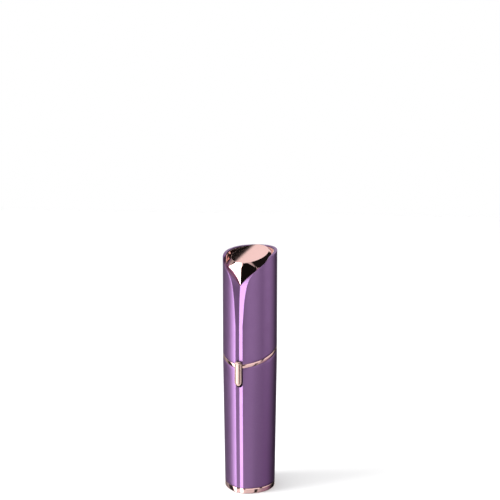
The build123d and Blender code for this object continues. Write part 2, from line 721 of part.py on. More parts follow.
# mirror crown: flat disc, sloping skirt, thin lip that lines the rim, two facets
# down to the V
with BuildPart() as cap_crown:
    extrude(pocket_at(103, *CROWN_PLAN), amount=20)
    extrude(pocket_at(103, LIP_R, LIP_R + 0.42), amount=20, mode=CUT)
    add(above_rim(0.4), mode=CUT)
    with BuildPart(mode=Mode.PRIVATE) as core:
        extrude(pocket_at(POCKET_Z + 0.05, *CROWN_PLAN), amount=25)
        keep_below(110.95, SKIRT_SLOPE)
    add(core.part)
    loft([round_on(110.90, SKIRT_SLOPE, CAP_POCKET_R - 0.05),
          oval_on(CROWN_Z, CROWN_SLOPE, CROWN_X, CROWN_Y * math.hypot(1, CROWN_SLOPE))],
         ruled=True)
    # facets: planes that hold the V edge and lean back to the crown disc
    for side in (1, -1):
        facet_plane = Plane(origin=(0, -11.9, NOTCH_V_Z - 0.15),
                            z_dir=Vector(0.2969 * side, -0.9516, 0.0809))
        with BuildSketch(facet_plane, mode=Mode.PRIVATE) as facet:
            Rectangle(80, 80)
        outside = extrude(facet.sketch, amount=30, mode=Mode.PRIVATE)
        with BuildSketch(Plane.XY.offset(90), mode=Mode.PRIVATE) as front_side:
            with Locations((side * 20, -20)):
                Rectangle(40, 40)
        quarter = extrude(front_side.sketch, amount=40, mode=Mode.PRIVATE)
        add(outside & quarter, mode=CUT)
    # room for the raised foil, then a hollow that follows the disc
    disc(90, 12.1, 9.5, CUT)
    extrude(oval_on(CROWN_Z - 2.0, CROWN_SLOPE, 7.2, 7.6), amount=-13, mode=CUT)
save(cap_crown, "cap_crown")

# inner liner that grips the column, slotted round the outside
with BuildPart() as cap_liner:
    ring(LINER_Z + 0.1, LINER_TOP_Z - LINER_Z - 0.2, LINER_BORE_R - 0.05, 11.17)
    for angle in range(0, 360, 60):
        radial_bar(LINER_Z, 7, 11.9, angle, length=0.7, width=1.6, mode=CUT)
save(cap_liner, "cap_liner")
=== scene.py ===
import math

import bmesh
import bpy
import numpy as np
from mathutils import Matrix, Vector


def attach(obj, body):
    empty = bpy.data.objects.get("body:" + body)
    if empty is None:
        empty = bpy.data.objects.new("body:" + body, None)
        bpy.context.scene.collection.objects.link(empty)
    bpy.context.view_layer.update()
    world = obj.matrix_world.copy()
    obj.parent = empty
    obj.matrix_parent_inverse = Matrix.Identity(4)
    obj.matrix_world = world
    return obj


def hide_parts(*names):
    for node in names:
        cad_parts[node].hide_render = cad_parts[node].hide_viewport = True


# Slim lipstick-shaped hair remover, standing upright with its cap closed. The axis is Z and
# the front, with the switch and the V notch, is -Y. Lengths are millimetres and become metres
# when a mesh is made; materials, lights and camera are in metres. Angles round the axis start
# at the front and grow towards +X.
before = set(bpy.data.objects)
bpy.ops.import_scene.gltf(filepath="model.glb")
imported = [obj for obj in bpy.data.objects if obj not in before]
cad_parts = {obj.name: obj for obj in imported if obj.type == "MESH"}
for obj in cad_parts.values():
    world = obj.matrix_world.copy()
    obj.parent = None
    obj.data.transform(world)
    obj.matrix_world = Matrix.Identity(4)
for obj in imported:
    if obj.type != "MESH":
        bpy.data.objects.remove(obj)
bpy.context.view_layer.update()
MM = 0.001

# Outline of the body, seen from above
BODY_R = 13.0
BASE_SCALE = 12.1 / BODY_R          # outline scale at the foot
RING_TOP, TAPER_TOP = 2.5, 62.0     # the outline grows to full size between these heights
FLANK_END = math.radians(45)        # round back meets the flatter front flank here
FLANK_X, FLANK_Y = 1.8, -13.80      # point near the front that the flank passes through
GROOVE_Y, GROOVE_SLOPE = 13.35, 0.249   # V groove down the front: floor distance, wall slope

# Slanting joints, low at the front; heights are those on the axis
SEAM_SLOPE = 5.5 / BODY_R
SEAM_Z, SEAT_Z = 66.3, 68.0         # sleeve to collar, collar to cap
COLUMN_R, SPLIT_Z = 11.05, 91.1
COVE_TOP_Z, COVE_SLOPE = 71.7, 4.0 / COLUMN_R

NOTCH_Z = 98.9                      # foot of the V notch in the cap
POCKET_R = 11.5                     # pocket in the cap top that holds the crown
NOSE = math.radians(37.0)           # half angle of the pocket's pointed front
CAMERA_TURN = math.radians(22.0)


# ------------------------------------------------------------------ outlines
def outline_r(angle, scale, valley):
    """Radius of the outline: round back, flatter flanks, front groove with its floor at valley."""
    turn = abs(angle)
    if turn >= FLANK_END:
        radius = BODY_R * scale
    else:
        # flank arc, tangent to the round back, centred beyond the axis
        reach = FLANK_X * math.sin(FLANK_END) - FLANK_Y * math.cos(FLANK_END)
        offset = (FLANK_X ** 2 + FLANK_Y ** 2 - BODY_R ** 2) / (2 * (BODY_R - reach))
        arc_r = (offset + BODY_R) * scale
        centre_x = -offset * scale * math.sin(FLANK_END)
        centre_y = -centre_x
        along = math.sin(turn) * centre_x - math.cos(turn) * centre_y
        radius = along + math.sqrt(along * along - centre_x ** 2 - centre_y ** 2 + arc_r ** 2)
    spread = math.cos(turn) - GROOVE_SLOPE * math.sin(turn)
    if spread > 0.05:
        radius = min(radius, valley / spread)
    return radius


def monotone_curve(stations):
    """Monotone cubic through (position, value) stations."""
    at, values = np.array(stations, float).T
    gaps = np.diff(at)
    slopes = np.diff(values) / gaps
    tangents = np.zeros_like(values)
    tangents[0], tangents[-1] = slopes[0], slopes[-1]
    for i in range(1, len(at) - 1):
        if slopes[i - 1] * slopes[i] > 0:
            before, after = 2 * gaps[i] + gaps[i - 1], gaps[i] + 2 * gaps[i - 1]
            tangents[i] = (before + after) / (before / slopes[i - 1] + after / slopes[i])

    def curve(x):
        i = int(np.clip(np.searchsorted(at, x) - 1, 0, len(at) - 2))
        t = (x - at[i]) / gaps[i]
        return ((2 * t ** 3 - 3 * t ** 2 + 1) * values[i]
                + (t ** 3 - 2 * t ** 2 + t) * gaps[i] * tangents[i]
                + (-2 * t ** 3 + 3 * t ** 2) * values[i + 1]
                + (t ** 3 - t ** 2) * gaps[i] * tangents[i + 1])
    return curve


# (height, distance of the cap's groove floor from the axis)
FLARE_FOOT, FLARE_TOP = 80, 112
flare = monotone_curve([
    (FLARE_FOOT, GROOVE_Y), (84, 13.2), (92, 12.85), (96.6, 12.4), (NOTCH_Z, 12.1), (102, 11.3),
    (105, 9.95), (107, 9.35), (109, 9.15), (FLARE_TOP, 9.05)])
# (y, height of the cap rim seen from the side)
rim_side = monotone_curve([
    (-14.5, 99.5), (-12.4, 103.6), (-10.3, 106.8), (-9.19, 108.0), (-7.8, 109.4), (-6.1, 110.9),
    (0, 113.6), (4.87, 114.9), (9.19, 115.8), (13.0, 116.4), (16, 116.8)])
# (distance from the middle, height of the V notch seen from the front)
v_edge = monotone_curve([
    (0, NOTCH_Z), (3.1, 102.4), (6.8, 105.6), (9.3, 108.3), (10.4, 110.6), (11.1, 112.8),
    (11.6, 115.5), (13.0, 124.0)])


def rim_z(x, y):
    z = rim_side(y)
    if y < -0.5:
        z = min(z, v_edge(abs(x)))
    return z


def seam_z(radius, angle, axis_z):
    return axis_z - SEAM_SLOPE * radius * math.cos(angle)


def pocket_r(angle, radius, tip):
    """Circle whose front is drawn out to a point at tip by two straight walls."""
    turn = abs(angle)
    if turn >= NOSE:
        return radius
    lean = (tip - radius * math.cos(NOSE)) / (radius * math.sin(NOSE))
    return tip / (math.cos(turn) + lean * math.sin(turn))


def angles_round(front_end, front_step, side_end, side_step, back_step=2.0):
    """Angles round the body, given in degrees, closest together near the front."""
    degrees = [*np.arange(0, front_end, front_step), *np.arange(front_end, side_end, side_step),
               *np.arange(side_end, 180, back_step)]
    half = [math.radians(step) for step in degrees]
    return half + [math.pi] + [-angle for angle in reversed(half[1:])]


# --------------------------------------------------------------- mesh makers
BOX_FACES = [(0, 1, 3, 2), (4, 6, 7, 5), (0, 4, 5, 1), (2, 3, 7, 6), (0, 2, 6, 4), (1, 5, 7, 3)]


def add_object(name, data):
    ob = bpy.data.objects.new(name, data)
    bpy.context.scene.collection.objects.link(ob)
    return ob


def clean_mesh(name, verts, faces, slots=None, merge=None):
    """Mesh from millimetres, normals outward; merge is a welding distance in metres."""
    mesh = bpy.data.meshes.new(name)
    mesh.from_pydata([(x * MM, y * MM, z * MM) for x, y, z in verts], [], faces)
    if slots:
        mesh.polygons.foreach_set("material_index", slots)
    bm = bmesh.new()
    bm.from_mesh(mesh)
    if merge:
        bmesh.ops.remove_doubles(bm, verts=bm.verts, dist=merge)
        bmesh.ops.dissolve_degenerate(bm, edges=bm.edges, dist=1e-8)
    bmesh.ops.recalc_face_normals(bm, faces=bm.faces)
    bm.to_mesh(mesh)
    bm.free()
    return mesh


def shade(mesh, sharp):
    for polygon in mesh.polygons:
        polygon.use_smooth = True
    mesh.set_sharp_from_angle(angle=math.radians(sharp))


def finish_mesh(name, verts, faces, body, node, mats, sharp, slots=None, merge=1e-7):
    """Make the object; it rides on body and, if node is given, replaces that CAD piece."""
    mesh = clean_mesh(name, verts, faces, slots, merge)
    shade(mesh, sharp)
    ob = add_object(name, mesh)
    for mat in mats:
        mesh.materials.append(mat)
    if node:
        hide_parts(node)
    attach(ob, body)
    return ob


def spin(angles, profile):
    """Points of profile(angle), a list of (radius, z), at every angle; and how many in each."""
    verts = []
    for angle in angles:
        points = profile(angle)
        sine, cosine = math.sin(angle), math.cos(angle)
        verts += [(radius * sine, -radius * cosine, z) for radius, z in points]
    return verts, len(points)


def ring_quads(rows, count, start=0):
    """Quads joining closed rings of count points, for each pair (ring, next ring) in rows."""
    return [(start + i * count + a, start + j * count + a, start + j * count + b,
             start + i * count + b)
            for i, j in rows for a in range(count) for b in [(a + 1) % count]]


def loop_solid(name, angles, profile, body, node, mats, sharp=40, lining_from=None):
    """Join closed profiles round the axis; faces from point lining_from on use mats[1]."""
    verts, count = spin(angles, profile)
    faces = ring_quads([(i, (i + 1) % len(angles)) for i in range(len(angles))], count)
    slots = [int(a >= lining_from) for _ in angles for a in range(count)] if lining_from else None
    return finish_mesh(name, verts, faces, body, node, mats, sharp, slots)


def rounded(points, radius, steps=3):
    """Closed (radius, z) polygon with its corners rounded."""
    out = []
    for i in range(len(points)):
        last, corner, following = (np.array(points[(i + k) % len(points)], float)
                                   for k in (-1, 0, 1))
        back, ahead = last - corner, following - corner
        back_len, ahead_len = np.linalg.norm(back), np.linalg.norm(ahead)
        trim = min(radius, back_len * 0.45, ahead_len * 0.45)
        start, end = corner + back / back_len * trim, corner + ahead / ahead_len * trim
        for k in range(steps + 1):
            t = k / steps
            out.append(tuple((1 - t) ** 2 * start + 2 * t * (1 - t) * corner + t * t * end))
    return out


def revolve(name, points, body, node, mat, segments, rounding):
    points = rounded(points, rounding)
    angles = [2 * math.pi * i / segments for i in range(segments)]
    return loop_solid(name, angles, lambda angle: points, body, node, [mat], sharp=35)


def cut(ob, verts, faces):
    """Take the solid given by verts and faces out of ob."""
    cutter = add_object("cutter", clean_mesh("cutter", verts, faces))
    boolean = ob.modifiers.new("cut", "BOOLEAN")
    boolean.operation = "DIFFERENCE"
    boolean.solver = "EXACT"
    boolean.object = cutter
    depsgraph = bpy.context.evaluated_depsgraph_get()
    mesh = bpy.data.meshes.new_from_object(ob.evaluated_get(depsgraph))
    ob.modifiers.clear()
    mesh.name = ob.data.name + "_cut"
    ob.data = mesh
    bpy.data.objects.remove(cutter)
    shade(mesh, 35)


# ------------------------------------------------------------------ materials
class Shader:
    """Node tree of a material or world, with short calls for its nodes."""

    def __init__(self, owner, output, surface, coords):
        owner.use_nodes = True
        self.tree = owner.node_tree
        self.tree.nodes.clear()
        end = self.add(output)
        self.surface = self.add(surface)
        self.tree.links.new(self.surface.outputs[0], end.inputs[0])
        self.coords = self.add("TexCoord").outputs[coords]

    def add(self, kind, inputs=None, **settings):
        node = self.tree.nodes.new("ShaderNode" + kind)
        for key, value in settings.items():
            setattr(node, key, value)
        self.feed(node, inputs or {})
        return node

    def feed(self, node, inputs):
        for key, value in inputs.items():
            if isinstance(value, bpy.types.NodeSocket):
                self.tree.links.new(value, node.inputs[key])
            else:
                node.inputs[key].default_value = value

    def noise(self, scale=1.0, detail=4.0, roughness=0.55, stretch=None):
        coords = self.coords
        if stretch:
            coords = self.add("Mapping", {"Scale": stretch, "Vector": coords}).outputs[0]
        return self.add("TexNoise", {"Scale": scale, "Detail": detail, "Roughness": roughness,
                                     "Vector": coords}).outputs["Fac"]

    def remap(self, value, to=(0, 1), source=(0.3, 0.7), kind="LINEAR"):
        return self.add("MapRange", {
            "From Min": source[0], "From Max": source[1], "To Min": to[0], "To Max": to[1],
            "Value": value}, interpolation_type=kind).outputs[0]

    def mix(self, factor, first, second):
        first, second = ((*colour, 1.0) if isinstance(colour, tuple) else colour
                         for colour in (first, second))
        return self.add("Mix", {6: first, 7: second, 0: factor}, data_type="RGBA").outputs[2]

    def math(self, operation, first, second):
        return self.add("Math", {0: first, 1: second}, operation=operation).outputs[0]

    def ramp(self, value, stops, interpolation="LINEAR"):
        """Colour ramp from (position, colour) stops."""
        node = self.add("ValToRGB", {0: value})
        node.color_ramp.interpolation = interpolation
        elements = node.color_ramp.elements
        elements.remove(elements[-1])
        for i, (position, colour) in enumerate(stops):
            element = elements.new(position) if i else elements[0]
            element.position = position
            element.color = (*colour, 1)
        return node.outputs[0]

    def bevel(self, radius):
        return self.add("Bevel", {"Radius": radius}, samples=6).outputs[0]

    def bump(self, height, strength, distance, bevel=None):
        inputs = {"Strength": strength, "Distance": distance, "Height": height}
        if bevel:
            inputs["Normal"] = self.bevel(bevel)
        return self.add("Bump", inputs).outputs[0]

    def edge_mask(self, radius, source=(0.02, 0.25)):
        """1 near edges: how far the bevelled normal leans from the true one."""
        true_normal = self.add("NewGeometry").outputs["Normal"]
        dot = self.add("VectorMath", {0: self.bevel(radius), 1: true_normal},
                       operation="DOT_PRODUCT")
        return self.remap(self.math("SUBTRACT", 1.0, dot.outputs["Value"]), source=source)


def start_mat(name):
    mat = bpy.data.materials.new(name)
    return mat, Shader(mat, "OutputMaterial", "BsdfPrincipled", "Object")


def satin_paint(name):
    """Metallic lacquer over moulded plastic: fine flake, soft highlight, paler worn edges."""
    mat, sh = start_mat(name)
    flake = sh.noise(scale=5200, detail=2.0, roughness=0.6)
    broad = sh.noise(scale=60, detail=3.0)
    base = sh.mix(sh.remap(flake, source=(0.25, 0.75)),
                  (0.290, 0.154, 0.342), (0.345, 0.190, 0.398))
    base = sh.mix(sh.remap(broad, to=(0.0, 0.14)), base, (0.28, 0.132, 0.345))
    scuff = sh.math("MULTIPLY", sh.edge_mask(radius=0.00022),
                    sh.remap(sh.noise(scale=900), to=(0.05, 0.5)))
    base = sh.mix(scuff, base, (0.52, 0.36, 0.58))
    sh.feed(sh.surface, {
        "Base Color": base, "Metallic": 1.0,
        "Roughness": sh.remap(sh.noise(scale=240, detail=5.0), to=(0.37, 0.43)),
        "Coat Weight": 0.10, "Coat Roughness": 0.30,
        "Normal": sh.bump(flake, strength=0.05, distance=0.00002, bevel=0.00018)})
    return mat


def mirror_rose(name, rough=0.035, tint=(0.93, 0.600, 0.565), spun=False):
    """Vacuum-plated rose gold: near mirror, faint smears, hairlines or spinning marks."""
    mat, sh = start_mat(name)
    smear = sh.noise(stretch=(140, 140, 40), detail=5.0, roughness=0.6)
    smeared = (tint[0] * 0.93, tint[1] * 0.86, tint[2] * 0.84)
    base = sh.mix(sh.remap(smear, to=(0.0, 0.22)), tint, smeared)
    worn = sh.edge_mask(radius=0.00015, source=(0.05, 0.4))
    base = sh.mix(sh.remap(worn, to=(0.0, 0.35), source=(0, 1)), base, (0.98, 0.80, 0.74))
    if spun:
        marks = {"stretch": (900, 6000, 900)}
        relief = {"strength": 0.015, "bevel": 0.00014}
    else:
        marks = {"stretch": (2600, 2600, 90)}
        relief = {"strength": 0.012, "bevel": 0.00012}
    sh.feed(sh.surface, {
        "Base Color": base, "Metallic": 1.0,
        "Roughness": sh.remap(smear, to=(rough * 0.7, rough * 1.9)),
        "Normal": sh.bump(sh.noise(detail=2.0, roughness=0.5, **marks),
                          distance=0.00001, **relief)})
    return mat


def plastic(name, colour, rough, grain, depth, dark=0.85, subsurface=0.0):
    mat, sh = start_mat(name)
    fine = sh.noise(scale=grain)
    broad = sh.noise(scale=90, detail=3.0)
    base = sh.mix(sh.remap(broad), tuple(part * dark for part in colour), colour)
    worn = sh.edge_mask(radius=0.00015)
    base = sh.mix(sh.remap(worn, to=(0.0, 0.3), source=(0, 1)), base,
                  tuple(min(1.0, part * 1.35 + 0.03) for part in colour))
    sh.feed(sh.surface, {
        "Base Color": base,
        "Roughness": sh.remap(fine, to=(rough * 0.85, rough * 1.15)),
        "Subsurface Weight": subsurface, "Subsurface Scale": 0.001,
        "Normal": sh.bump(fine, strength=depth, distance=0.00003, bevel=0.00012)})
    return mat


def metal(name, colour, rough, stretch, depth=0.12, tarnish=0.25):
    """Brushed metal with tarnish spots; stretch sets the direction of the brushing."""
    mat, sh = start_mat(name)
    brush = sh.noise(stretch=stretch, detail=3.0, roughness=0.6)
    spots = sh.noise(scale=420, detail=5.0, roughness=0.65)
    base = sh.mix(sh.remap(spots, to=(0.0, tarnish), source=(0.45, 0.75)),
                  colour, tuple(part * 0.55 for part in colour))
    sh.feed(sh.surface, {
        "Base Color": base, "Metallic": 1.0,
        "Roughness": sh.remap(brush, to=(rough * 0.75, rough * 1.35)),
        "Normal": sh.bump(brush, strength=depth, distance=0.00002, bevel=0.0001)})
    return mat


def foam(name, colour):
    mat, sh = start_mat(name)
    cells = sh.add("TexVoronoi", {"Scale": 1800, "Vector": sh.coords}).outputs["Distance"]
    base = sh.mix(sh.remap(cells, source=(0.0, 0.7)), tuple(part * 0.4 for part in colour), colour)
    sh.feed(sh.surface, {"Base Color": base, "Roughness": 0.95,
                         "Normal": sh.bump(cells, strength=0.6, distance=0.00012)})
    return mat


def coil_wire(name, colour):
    mat, sh = start_mat(name)
    turns = sh.add("TexWave", {"Scale": 1400, "Distortion": 1.5, "Vector": sh.coords},
                   bands_direction="Z").outputs["Fac"]
    base = sh.mix(turns, tuple(part * 0.35 for part in colour), colour)
    sh.feed(sh.surface, {
        "Base Color": base, "Metallic": 0.85,
        "Roughness": sh.remap(sh.noise(scale=700), to=(0.22, 0.4)),
        "Normal": sh.bump(turns, strength=0.5, distance=0.00006)})
    return mat


def cell_label(name):
    """Plain cell jacket: dark body, thin pale line, copper shoulder, no print."""
    mat, sh = start_mat(name)
    height = sh.add("SeparateXYZ", {0: sh.coords}).outputs["Z"]
    bands = sh.ramp(sh.remap(height, source=(0.006, 0.056)), [
        (0.0, (0.030, 0.034, 0.042)), (0.70, (0.75, 0.75, 0.72)), (0.72, (0.62, 0.26, 0.10))],
        "CONSTANT")
    base = sh.mix(sh.remap(sh.noise(scale=300), to=(0.0, 0.25)), bands, (0.1, 0.09, 0.09))
    sh.feed(sh.surface, {
        "Base Color": base, "Metallic": 0.35,
        "Roughness": sh.remap(sh.noise(scale=500, detail=3.0), to=(0.2, 0.34)),
        "Coat Weight": 0.5,
        "Normal": sh.bump(sh.noise(stretch=(300, 300, 40)), strength=0.08, distance=0.00005)})
    return mat


MATS = {
    "paint": satin_paint("satin_purple_lacquer"),
    "mirror": mirror_rose("rose_gold_plating"),
    "disc": mirror_rose("rose_gold_crown", rough=0.018, tint=(0.94, 0.575, 0.535), spun=True),
    "button": mirror_rose("rose_gold_button", rough=0.16, tint=(0.33, 0.232, 0.205)),
    "foil": metal("foil_gold", (0.84, 0.60, 0.47), rough=0.22, stretch=(3000, 3000, 3000),
                  depth=0.08, tarnish=0.2),
    # painted shade: near-black plum on the inner walls of the cap's pocket and on the bores,
    # standing in for the shade that falls in these recesses
    "inside": plastic("plum_painted_shade", (0.050, 0.022, 0.060), rough=0.38, grain=1300, depth=0.15),
    "dark": plastic("dark_moulding", (0.035, 0.033, 0.036), rough=0.42, grain=1400, depth=0.18),
    "white": plastic("pale_moulding", (0.46, 0.455, 0.44), rough=0.42, grain=1100, depth=0.15,
                     dark=0.88, subsurface=0.05),
    "steel": metal("drawn_steel", (0.60, 0.60, 0.62), rough=0.28, stretch=(2500, 2500, 120)),
    "lamination": metal("laminated_core", (0.34, 0.34, 0.36), rough=0.45,
                        stretch=(120, 120, 5200), depth=0.6, tarnish=0.5),
    "spring": metal("spring_wire", (0.70, 0.70, 0.71), rough=0.22, stretch=(1500, 1500, 1500)),
    "blade": metal("ground_blade", (0.72, 0.73, 0.75), rough=0.18, stretch=(3500, 3500, 200)),
    "brass": metal("brass_strip", (0.78, 0.55, 0.22), rough=0.30, stretch=(1800, 1800, 150),
                   tarnish=0.45),
    "copper": metal("copper_bar", (0.78, 0.36, 0.20), rough=0.32, stretch=(1800, 1800, 1800),
                    tarnish=0.5),
    "coil": coil_wire("enamelled_winding", (0.62, 0.22, 0.08)),
    "magnet": metal("sintered_magnet", (0.12, 0.12, 0.13), rough=0.62, stretch=(900, 900, 900),
                    depth=0.35, tarnish=0.6),
    "jacket": cell_label("cell_jacket_plain"),
    "rubber": plastic("black_rubber", (0.022, 0.022, 0.023), rough=0.72, grain=900, depth=0.35),
    "foam": foam("grey_foam", (0.16, 0.16, 0.17)),
    "felt": foam("felt_washer", (0.42, 0.40, 0.37)),
    "red": plastic("red_wire_sleeve", (0.55, 0.025, 0.02), rough=0.33, grain=2000, depth=0.08),
    "black": plastic("black_wire_sleeve", (0.02, 0.02, 0.024), rough=0.33, grain=2000,
                     depth=0.08),
    "ceramic": plastic("ceramic_disc", (0.62, 0.28, 0.06), rough=0.35, grain=900, depth=0.12),
}
# CAD pieces that take each material
CAD_PIECES = {
    "dark": "base_plug motor_endcap drive_hub cutter_hub switch_carrier",
    "white": "neck battery_cradle cell_washer motor_holder foil_retainer cap_liner",
    "steel": "cell_can cell_button motor_can chassis_screws rotor_shaft",
    "brass": "return_strip positive_contact switch_blade motor_bushes motor_terminals",
    "copper": "motor_brushes commutator switch_wiper",
    "spring": "negative_spring cutter_spring",
    "foam": "base_cushion", "felt": "shaft_seal", "jacket": "cell_jacket",
    "magnet": "motor_magnets", "rubber": "motor_boot", "ceramic": "capacitor",
    "black": "wire_return", "red": "wire_switched", "lamination": "rotor_core",
    "coil": "rotor_windings", "blade": "cutter_blades", "foil": "foil",
    "button": "switch_button", "paint": "body_sleeve cap_shell",
    "mirror": "base_ring collar column_sleeve head_ring foil_frame cap_crown",
}
for key, pieces in CAD_PIECES.items():
    for piece in pieces.split():
        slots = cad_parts[piece].data.materials
        slots.clear()
        slots.append(MATS[key])

# ------------------------------------------------------------- sleeve (purple)
BODY_ANGLES = angles_round(front_end=12.0, front_step=0.25, side_end=45.0, side_step=0.75)
SLEEVE_FOOT = RING_TOP + 0.02
SLEEVE_BORE = 10.9
SOCKET_R, SOCKET_FLOOR = 11.5, 55.2     # wider bore at the top
SLEEVE_EDGE = 0.12
NOTCH_HALF, NOTCH_LOW, NOTCH_TOP = 1.85, 51.2, 70.0    # U notch for the switch
NOTCH_DEPTHS = (-9.0, -18.0)


def sleeve_r(angle, z):
    rise = min(1.0, max(0.0, (z - RING_TOP) / (TAPER_TOP - RING_TOP)))
    scale = BASE_SCALE + (1 - BASE_SCALE) * rise
    return outline_r(angle, scale, GROOVE_Y * scale)


def sleeve_profile(angle):
    # the rim height depends on the radius, which depends on the height
    top = 66.0
    for _ in range(4):
        top = seam_z(sleeve_r(angle, top), angle, SEAM_Z)
    lean = SEAM_SLOPE * math.cos(angle)
    foot_r, top_r = sleeve_r(angle, SLEEVE_FOOT), sleeve_r(angle, top)
    points = [(foot_r - 0.10, SLEEVE_FOOT), (foot_r - 0.03, SLEEVE_FOOT + 0.03),
              (foot_r, SLEEVE_FOOT + 0.10)]
    points += [(sleeve_r(angle, z), z)
               for z in np.linspace(SLEEVE_FOOT + 1.0, top - SLEEVE_EDGE, 46)]
    points += [(top_r - 0.035, top - 0.035 + lean * 0.035),
               (top_r - SLEEVE_EDGE, top + lean * SLEEVE_EDGE)]
    mouth_r = SOCKET_R + SLEEVE_EDGE
    points += [(mouth_r, seam_z(mouth_r, angle, SEAM_Z)),
               (SOCKET_R, seam_z(SOCKET_R, angle, SEAM_Z) - SLEEVE_EDGE),
               (SOCKET_R, SOCKET_FLOOR + 0.1), (SOCKET_R - 0.1, SOCKET_FLOOR),
               (SLEEVE_BORE + 0.05, SOCKET_FLOOR), (SLEEVE_BORE, SOCKET_FLOOR - 0.1)]
    points += [(SLEEVE_BORE, z) for z in np.linspace(50, 6, 8)]
    return points + [(SLEEVE_BORE, SLEEVE_FOOT + 0.1), (SLEEVE_BORE + 0.1, SLEEVE_FOOT)]


def u_prism(half, z_low, z_top, depths):
    """Upright U outline in XZ, carried between two y values."""
    outline = [(half, z_top), (-half, z_top)]
    for i in range(25):
        angle = math.pi + math.pi * i / 24
        outline.append((half * math.cos(angle), z_low + half + half * math.sin(angle)))
    count = len(outline)
    verts = [(x, y, z) for y in depths for x, z in outline]
    ends = [tuple(range(count)), tuple(range(2 * count - 1, count - 1, -1))]
    return verts, ends + ring_quads([(0, 1)], count)


# the socket and bore inside, from profile point 52 on, take the painted shade colour
sleeve = loop_solid("sleeve_body", BODY_ANGLES, sleeve_profile, "handle", "body_sleeve",
                    [MATS["paint"], MATS["inside"]], lining_from=52)
cut(sleeve, *u_prism(NOTCH_HALF, NOTCH_LOW, NOTCH_TOP, NOTCH_DEPTHS))

# --------------------------------------------------------------- base ring
RING_BORE = 10.0
FLANGE_R, FLANGE_TOP = 9.62, 1.42       # inward flange at the foot
SHOULDER_Z = 2.42
TONGUE_R, TONGUE_TOP = 10.85, 5.6       # wall that stands up inside the sleeve
FOOT_ROUND = 0.36


def ring_profile(angle):
    rim = outline_r(angle, BASE_SCALE, GROOVE_Y * BASE_SCALE)
    points = [(FLANGE_R + 0.03, 0.0), (rim - 0.38, 0.0)]
    for i in range(1, 6):
        turn = math.radians(90 * i / 5)
        points.append((rim - 0.38 + FOOT_ROUND * math.sin(turn),
                       FOOT_ROUND - FOOT_ROUND * math.cos(turn)))
    return points + [
        (rim - 0.02, 1.2), (rim - 0.02, 2.25), (rim - 0.05, 2.36), (rim - 0.14, SHOULDER_Z),
        (TONGUE_R, SHOULDER_Z), (TONGUE_R, TONGUE_TOP - 0.1), (TONGUE_R - 0.1, TONGUE_TOP),
        (RING_BORE + 0.1, TONGUE_TOP), (RING_BORE, TONGUE_TOP - 0.1), (RING_BORE, FLANGE_TOP),
        (FLANGE_R, FLANGE_TOP), (FLANGE_R, 0.05)]


loop_solid("base_trim", BODY_ANGLES, ring_profile, "handle", "base_ring", [MATS["mirror"]])

# ------------------------------------------------------------------ collar
COVE_R, COVE_WIDTH = 11.12, 1.10        # curved slope from the seat up to the column
TAIL_R, TAIL_BORE = 11.44, 10.3         # part that goes down inside the sleeve
TAIL_FOOT, COLLAR_LEDGE = 56.0, 63.0
COLLAR_FOOT = SEAM_Z + 0.05             # leaves a fine gap above the sleeve


def collar_profile(angle):
    def seam(radius, axis_z):
        return seam_z(radius, angle, axis_z)

    rim = outline_r(angle, 1.0, GROOVE_Y)
    low, high = seam(rim, COLLAR_FOOT), seam(rim, SEAT_Z)
    points = [(rim - 0.10, seam(rim - 0.10, COLLAR_FOOT)),
              (rim - 0.03, seam(rim - 0.03, SEAM_Z + 0.08)), (rim, low + 0.12)]
    points += [(rim, low + (high - low) * part) for part in (0.35, 0.65)]
    points += [(rim, high - 0.10), (rim - 0.03, seam(rim - 0.03, SEAT_Z - 0.03)),
               (rim - 0.10, seam(rim - 0.10, SEAT_Z)), (12.34, seam(12.34, SEAT_Z)),
               (12.25, seam(12.25, SEAT_Z + 0.03)), (12.22, seam(12.22, SEAT_Z + 0.15))]
    cove_top = COVE_TOP_Z - COVE_SLOPE * 11.1 * math.cos(angle)
    cove_foot = seam(12.2, SEAT_Z + 0.15)
    for i in range(1, 17):
        turn = math.radians(88 * i / 16)
        points.append((COVE_R + COVE_WIDTH * math.cos(turn) ** 0.9,
                       cove_foot + (cove_top - cove_foot) * math.sin(turn)))
    return points + [
        (11.09, cove_top - 0.12), (11.09, COLLAR_LEDGE), (TAIL_BORE + 0.05, COLLAR_LEDGE),
        (TAIL_BORE, COLLAR_LEDGE - 0.1), (TAIL_BORE, TAIL_FOOT + 0.1),
        (TAIL_BORE + 0.1, TAIL_FOOT), (TAIL_R - 0.1, TAIL_FOOT), (TAIL_R, TAIL_FOOT + 0.1),
        (TAIL_R, seam(TAIL_R, COLLAR_FOOT))]


collar = loop_solid("collar_trim", BODY_ANGLES, collar_profile, "chassis", "collar",
                    [MATS["mirror"]])
# front openings in the tail: half width, y range, z range
for half, depths, heights in ((2.15, (-12.2, -8), (50, 60.35)),
                              (4.3, (-10.95, -5), (50, 62.95))):
    cut(collar, [(x, y, z) for x in (-half, half) for y in depths for z in heights], BOX_FACES)

# ------------------------------------------------------------ column and head
COLUMN_FOOT, COLUMN_TOP, COLUMN_BORE = 63.1, SPLIT_Z - 0.03, 10.57
HEAD_FOOT, HEAD_TOP, SPIGOT_FOOT = SPLIT_Z + 0.06, 97.5, 88.75
# (radius, z) outlines
HEAD_OUTLINE = [(COLUMN_R, HEAD_FOOT), (COLUMN_R, HEAD_TOP), (8.76, HEAD_TOP), (8.76, 96.4),
                (9.9, 96.4), (9.9, 91.8), (9.0, 91.8), (9.0, SPIGOT_FOOT), (9.6, SPIGOT_FOOT),
                (9.6, HEAD_FOOT)]
FOIL_COLLAR_OUTLINE = [(8.7, 95.3), (8.7, 100.14), (8.0, 100.14), (8.0, 95.3)]
LUG_RADII, LUG_HALF, LUG_HEIGHTS = (9.5, 10.0), 1.6, (SPIGOT_FOOT, 89.6)


